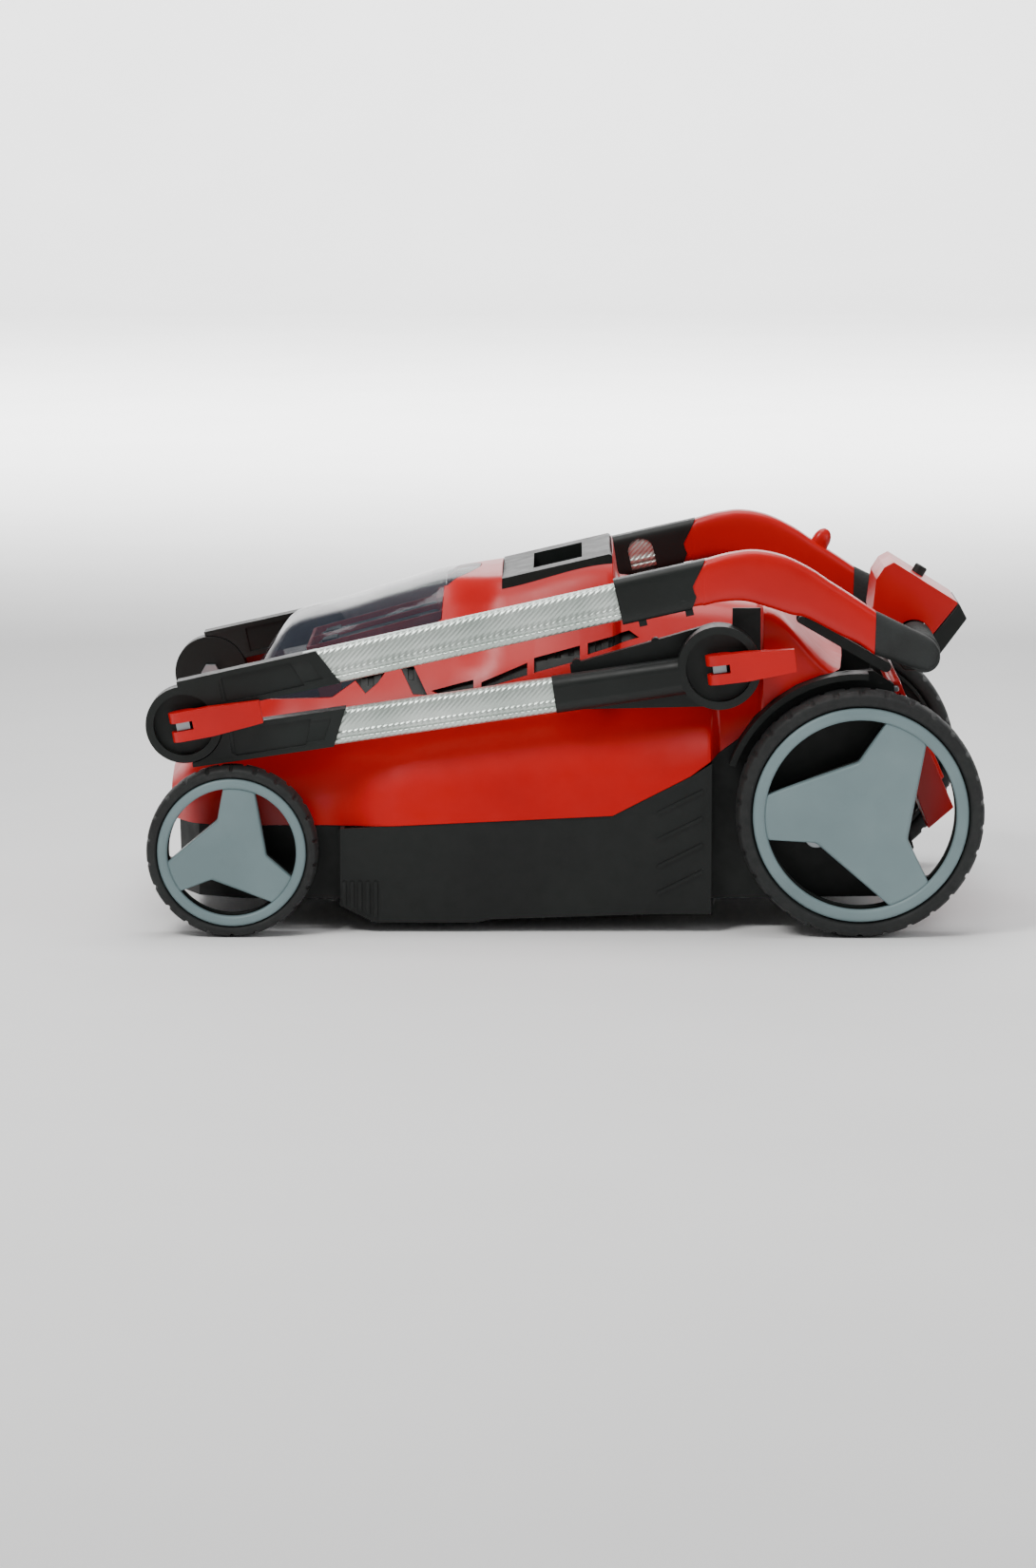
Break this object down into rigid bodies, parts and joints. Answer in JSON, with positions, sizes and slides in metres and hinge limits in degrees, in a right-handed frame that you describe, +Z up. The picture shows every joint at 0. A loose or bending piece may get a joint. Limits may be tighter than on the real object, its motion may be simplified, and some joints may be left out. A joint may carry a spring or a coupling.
{
  "type": "push lawn mower",
  "caption": "Battery push lawn mower with a two-piece handle folded flat over its hood, grey spoked wheels and a clear battery lid.",
  "frame": {"origin": "on the ground under the middle of the folded mower's bounding box", "axes": "+Z up, +X towards the rear of the mower, +Y towards its right-hand side"},
  "size_m": [0.742, 0.43, 0.3427],
  "materials": {
    "red_plastic": "glossy moulded red plastic",
    "bay_plastic": "moulded red plastic inside the battery bay",
    "black_plastic": "satin black moulded plastic",
    "battery_plastic": "fine-textured dark plastic",
    "key_plastic": "glossy red plastic",
    "soft_grip": "soft foam-textured grip",
    "grey_plastic": "satin blue-grey plastic",
    "tyre": "matt black rubber",
    "aluminium": "grooved and embossed aluminium",
    "steel": "plated steel",
    "smoked_window": "smoked clear plastic"
  },
  "bodies": {
    "chassis": {"deck": "black_plastic", "hood": "red_plastic", "battery_bay": "bay_plastic", "battery_pack_left": "battery_plastic", "battery_pack_right": "battery_plastic", "safety_key": "key_plastic", "carry_handle": "black_plastic", "motor_housing": "black_plastic", "control_board": "black_plastic", "discharge_chute": "black_plastic", "vent_grilles": "black_plastic", "handle_mount_left": "black_plastic", "handle_mount_right": "black_plastic", "hinge_rods": "steel"},
    "battery_lid": {"battery_lid": "smoked_window"},
    "rear_flap": {"rear_flap": "red_plastic"},
    "blade": {"blade": "steel", "blade_holder": "black_plastic", "blade_bolt": "steel"},
    "front_axle": {"front_axle": "steel"},
    "rear_axle": {"rear_axle": "steel"},
    "height_link": {"height_link": "steel"},
    "height_lever": {"height_lever": "black_plastic"},
    "wheel_front_left": {"front_tyre_left": "tyre", "front_wheel_left": "black_plastic", "front_trim_left": "grey_plastic"},
    "wheel_front_right": {"front_tyre_right": "tyre", "front_wheel_right": "black_plastic", "front_trim_right": "grey_plastic"},
    "wheel_rear_left": {"rear_tyre_left": "tyre", "rear_wheel_left": "black_plastic", "rear_trim_left": "grey_plastic"},
    "wheel_rear_right": {"rear_tyre_right": "tyre", "rear_wheel_right": "black_plastic", "rear_trim_right": "grey_plastic"},
    "lower_handle": {"lower_tube_left": "aluminium", "lower_tube_right": "aluminium", "rear_bracket_left": "black_plastic", "rear_bracket_right": "black_plastic", "lower_knee_bracket_left": "black_plastic", "lower_knee_bracket_right": "black_plastic", "rear_pivot_bolts": "steel"},
    "upper_handle": {"upper_tube_left": "aluminium", "upper_tube_right": "aluminium", "upper_knee_bracket_left": "black_plastic", "upper_knee_bracket_right": "black_plastic", "knee_bolts": "steel"},
    "handlebar": {"coupling_left": "black_plastic", "coupling_right": "black_plastic", "handlebar_arm_left": "red_plastic", "handlebar_arm_right": "red_plastic", "crossbar": "soft_grip", "switch_box_upper": "red_plastic", "switch_box_lower": "black_plastic"},
    "bail": {"bail": "black_plastic"},
    "lock_button": {"lock_button": "black_plastic"},
    "rear_clamp_left": {"rear_clamp_left": "red_plastic"},
    "rear_clamp_right": {"rear_clamp_right": "red_plastic"},
    "knee_clamp_left": {"knee_clamp_left": "red_plastic"},
    "knee_clamp_right": {"knee_clamp_right": "red_plastic"}
  },
  "joints": [
    {"name": "handle_fold", "type": "hinge", "parent": "chassis", "child": "lower_handle", "pos_m": [0.136, 0, 0.239], "axis": [0, 1, 0], "range_deg": [0, 140]},
    {"name": "knee_fold", "type": "hinge", "parent": "lower_handle", "child": "upper_handle", "pos_m": [-0.337, 0, 0.188], "axis": [0, 1, 0], "range_deg": [-176, 0]},
    {"name": "handle_extend", "type": "slide", "parent": "upper_handle", "child": "handlebar", "axis": [0.9759, 0, 0.2181], "range_m": [0, 0.06]},
    {"name": "bail_swing", "type": "hinge", "parent": "handlebar", "child": "bail", "pos_m": [0.209, 0, 0.28017], "axis": [0, -1, 0], "range_deg": [0, 8], "stiffness_Nm_per_rad": 1.5},
    {"name": "lock_press", "type": "slide", "parent": "handlebar", "child": "lock_button", "axis": [-0.5075, 0, -0.8616], "range_m": [0, 0.005], "stiffness_N_per_m": 300},
    {"name": "lid_hinge", "type": "hinge", "parent": "chassis", "child": "battery_lid", "pos_m": [-0.29, 0, 0.209], "axis": [0, -1, 0], "range_deg": [0, 70]},
    {"name": "flap_hinge", "type": "hinge", "parent": "chassis", "child": "rear_flap", "pos_m": [0.295, 0, 0.214], "axis": [0, -1, 0], "range_deg": [0, 60]},
    {"name": "blade_spin", "type": "hinge", "parent": "chassis", "child": "blade", "pos_m": [-0.035, 0, 0.03], "axis": [0, 0, 1], "continuous": true},
    {"name": "rear_height", "type": "hinge", "parent": "chassis", "child": "rear_axle", "pos_m": [0.22369, 0, 0.08484], "axis": [0, 1, 0], "range_deg": [0, 68]},
    {"name": "front_height", "type": "hinge", "parent": "chassis", "child": "front_axle", "pos_m": [-0.33231, 0, 0.05084], "axis": [0, 1, 0], "range_deg": [0, 68]},
    {"name": "lever_swing", "type": "hinge", "parent": "chassis", "child": "height_lever", "pos_m": [0.06, 0, 0.084], "axis": [0, 1, 0], "range_deg": [0, 68]},
    {"name": "link_pivot", "type": "hinge", "parent": "rear_axle", "child": "height_link", "pos_m": [0.22369, 0, 0.15084], "axis": [0, 1, 0], "range_deg": [-68, 0]},
    {"name": "wheel_front_left_spin", "type": "hinge", "parent": "front_axle", "child": "wheel_front_left", "pos_m": [-0.295, -0.196, 0.076], "axis": [0, 1, 0], "continuous": true},
    {"name": "wheel_front_right_spin", "type": "hinge", "parent": "front_axle", "child": "wheel_front_right", "pos_m": [-0.295, 0.196, 0.076], "axis": [0, 1, 0], "continuous": true},
    {"name": "wheel_rear_left_spin", "type": "hinge", "parent": "rear_axle", "child": "wheel_rear_left", "pos_m": [0.261, -0.1925, 0.11], "axis": [0, 1, 0], "continuous": true},
    {"name": "wheel_rear_right_spin", "type": "hinge", "parent": "rear_axle", "child": "wheel_rear_right", "pos_m": [0.261, 0.1925, 0.11], "axis": [0, 1, 0], "continuous": true},
    {"name": "rear_clamp_left_swing", "type": "hinge", "parent": "lower_handle", "child": "rear_clamp_left", "pos_m": [0.136, -0.2015, 0.239], "axis": [0.1215, 0, -0.9926], "range_deg": [0, 90]},
    {"name": "rear_clamp_right_swing", "type": "hinge", "parent": "lower_handle", "child": "rear_clamp_right", "pos_m": [0.136, 0.2015, 0.239], "axis": [-0.1215, 0, 0.9926], "range_deg": [0, 90]},
    {"name": "knee_clamp_left_swing", "type": "hinge", "parent": "upper_handle", "child": "knee_clamp_left", "pos_m": [-0.337, -0.2015, 0.188], "axis": [0.1874, 0, -0.9823], "range_deg": [0, 90]},
    {"name": "knee_clamp_right_swing", "type": "hinge", "parent": "upper_handle", "child": "knee_clamp_right", "pos_m": [-0.337, 0.2015, 0.188], "axis": [-0.1874, 0, 0.9823], "range_deg": [0, 90]}
  ],
  "couplings": [
    {"joint": "knee_fold", "follows": "handle_fold", "ratio": -1.2563},
    {"joint": "front_height", "follows": "rear_height", "ratio": 1},
    {"joint": "lever_swing", "follows": "rear_height", "ratio": 1},
    {"joint": "link_pivot", "follows": "rear_height", "ratio": -1}
  ]
}
